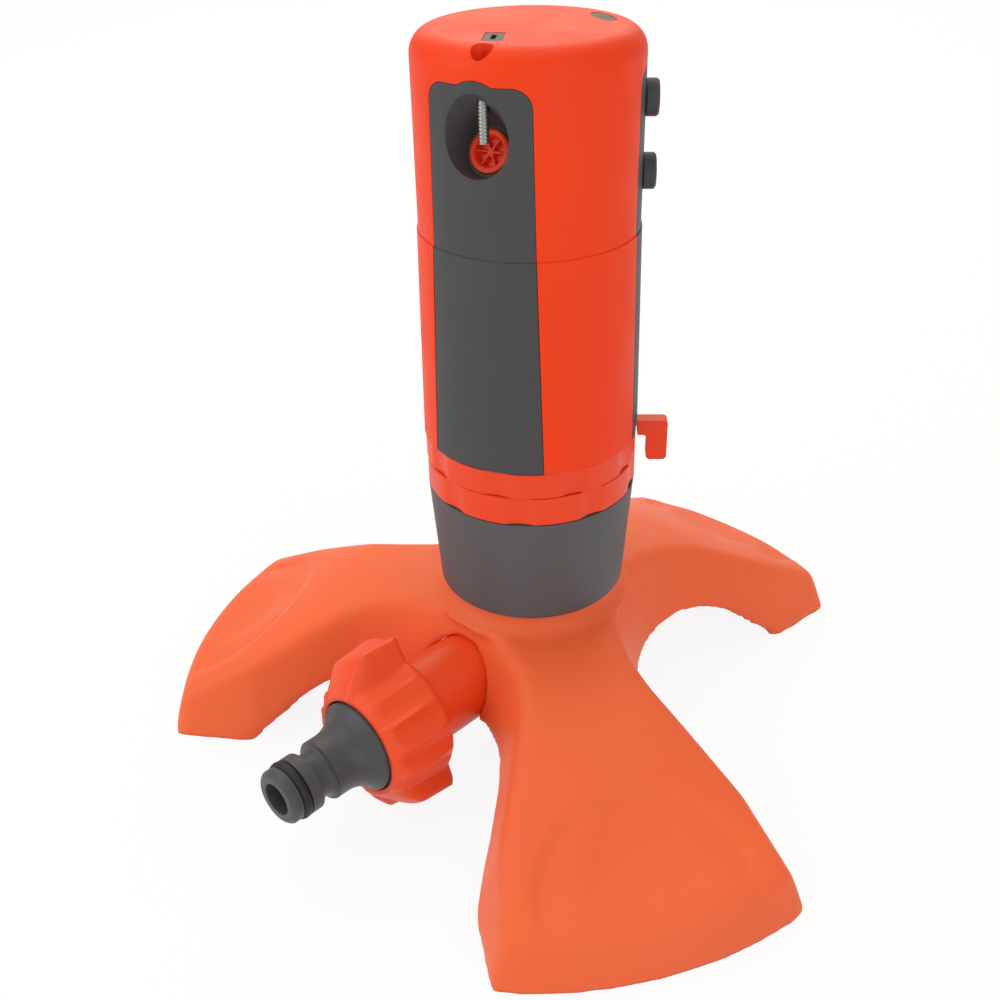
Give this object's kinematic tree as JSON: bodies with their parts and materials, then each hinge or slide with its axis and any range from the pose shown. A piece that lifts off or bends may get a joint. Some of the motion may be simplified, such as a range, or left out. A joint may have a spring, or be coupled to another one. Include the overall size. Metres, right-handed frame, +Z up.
{
  "type": "gear drive sprinkler",
  "caption": "Turning lawn sprinkler: a barrel head on a grey cup and a low three-legged foot, with arc rings, a trip hook and a quick-fit hose inlet.",
  "frame": {"origin": "where the head's turning axis meets the ground, under the middle of the foot", "axes": "+Z up along the turning axis, -Y out along the hose inlet, +X across the foot's widest span"},
  "size_m": [0.2132, 0.2022, 0.1961],
  "materials": {
    "foot_orange": "satin moulded polypropylene with a fine texture",
    "shell_orange": "fine matt moulded ABS",
    "ring_orange": "satin moulded acetal",
    "nut_orange": "semi-gloss moulded plastic",
    "inlet_orange": "satin moulded plastic",
    "nozzle_orange": "semi-gloss moulded plastic",
    "panel_grey": "fine matt moulded plastic",
    "cup_grey": "coarse matt moulded plastic",
    "nose_grey": "semi-gloss moulded plastic",
    "insert_grey": "semi-gloss moulded plastic",
    "inner_grey": "plain moulded plastic",
    "gear_white": "smooth acetal",
    "seal_rubber": "black nitrile rubber",
    "screw_steel": "stainless steel"
  },
  "bodies": {
    "base": {"tripod_base": "foot_orange", "riser_cup": "cup_grey", "ring_carrier": "cup_grey", "inlet_elbow": "inlet_orange", "riser_tube": "inner_grey", "riser_seal": "seal_rubber", "cup_screws": "screw_steel", "hose_connector": "nose_grey", "nose_o_ring": "seal_rubber", "nut_washer": "seal_rubber", "inlet_strainer": "gear_white", "pin_spider": "gear_white", "centre_pin": "screw_steel", "fixed_gear": "gear_white", "retaining_clip": "screw_steel"},
    "nut": {"coupling_nut": "nut_orange"},
    "lower_ring": {"lower_arc_ring": "ring_orange"},
    "upper_ring": {"upper_arc_ring": "ring_orange"},
    "head": {"body_shell": "shell_orange", "body_front_panel": "panel_grey", "body_side_panel": "panel_grey", "head_shell": "shell_orange", "head_front_panel": "panel_grey", "head_side_panel": "panel_grey", "spare_nozzles": "panel_grey", "nozzle": "nozzle_orange", "nozzle_tube": "inner_grey", "head_plate": "inner_grey", "seam_seal": "seal_rubber", "thrust_washer": "gear_white", "bearing_sleeve": "gear_white", "riser_lip_seal": "seal_rubber", "stator_plate": "gear_white", "gear_case": "inner_grey", "gear_case_lid": "inner_grey", "offset_pin": "screw_steel", "slot_insert": "insert_grey", "mark_insert": "insert_grey"},
    "turbine_wheel": {"turbine": "gear_white"},
    "gear_one": {"first_gear": "gear_white"},
    "gear_two": {"second_gear": "gear_white"},
    "gear_three": {"third_gear": "gear_white"},
    "lever": {"trip_lever": "ring_orange", "flow_shutter": "gear_white"},
    "jet_screw": {"radius_screw": "screw_steel"}
  },
  "joints": [
    {"name": "nut_turn", "type": "hinge", "parent": "base", "child": "nut", "pos_m": [0, -0.058, 0.0248], "axis": [0, -1, 0], "continuous": true},
    {"name": "head_turn", "type": "hinge", "parent": "base", "child": "head", "pos_m": [0, 0, 0.1], "axis": [0, 0, 1], "range_deg": [-238, 62]},
    {"name": "lower_ring_turn", "type": "hinge", "parent": "base", "child": "lower_ring", "pos_m": [0, 0, 0.0834], "axis": [0, 0, 1], "range_deg": [0, 238]},
    {"name": "upper_ring_turn", "type": "hinge", "parent": "base", "child": "upper_ring", "pos_m": [0, 0, 0.091], "axis": [0, 0, 1], "range_deg": [-62, 0]},
    {"name": "third_gear_spin", "type": "hinge", "parent": "head", "child": "gear_three", "pos_m": [-0.00355, 0.01146, 0.13], "axis": [0, 0, 1], "continuous": true},
    {"name": "second_gear_spin", "type": "hinge", "parent": "head", "child": "gear_two", "pos_m": [0, 0, 0.126], "axis": [0, 0, 1], "continuous": true},
    {"name": "first_gear_spin", "type": "hinge", "parent": "head", "child": "gear_one", "pos_m": [-0.00355, 0.01146, 0.122], "axis": [0, 0, 1], "continuous": true},
    {"name": "turbine_spin", "type": "hinge", "parent": "head", "child": "turbine_wheel", "pos_m": [0, 0, 0.1117], "axis": [0, 0, 1], "continuous": true},
    {"name": "trip_lever_swing", "type": "hinge", "parent": "head", "child": "lever", "pos_m": [0, 0, 0.0953], "axis": [0, 0, 1], "range_deg": [-7, 7]},
    {"name": "radius_screw_lift", "type": "slide", "parent": "head", "child": "jet_screw", "axis": [0, 0, 1], "range_m": [0, 0.005]}
  ],
  "couplings": [
    {"joint": "third_gear_spin", "follows": "head_turn", "ratio": 3},
    {"joint": "second_gear_spin", "follows": "head_turn", "ratio": -9},
    {"joint": "first_gear_spin", "follows": "head_turn", "ratio": 27},
    {"joint": "turbine_spin", "follows": "head_turn", "ratio": -81}
  ]
}
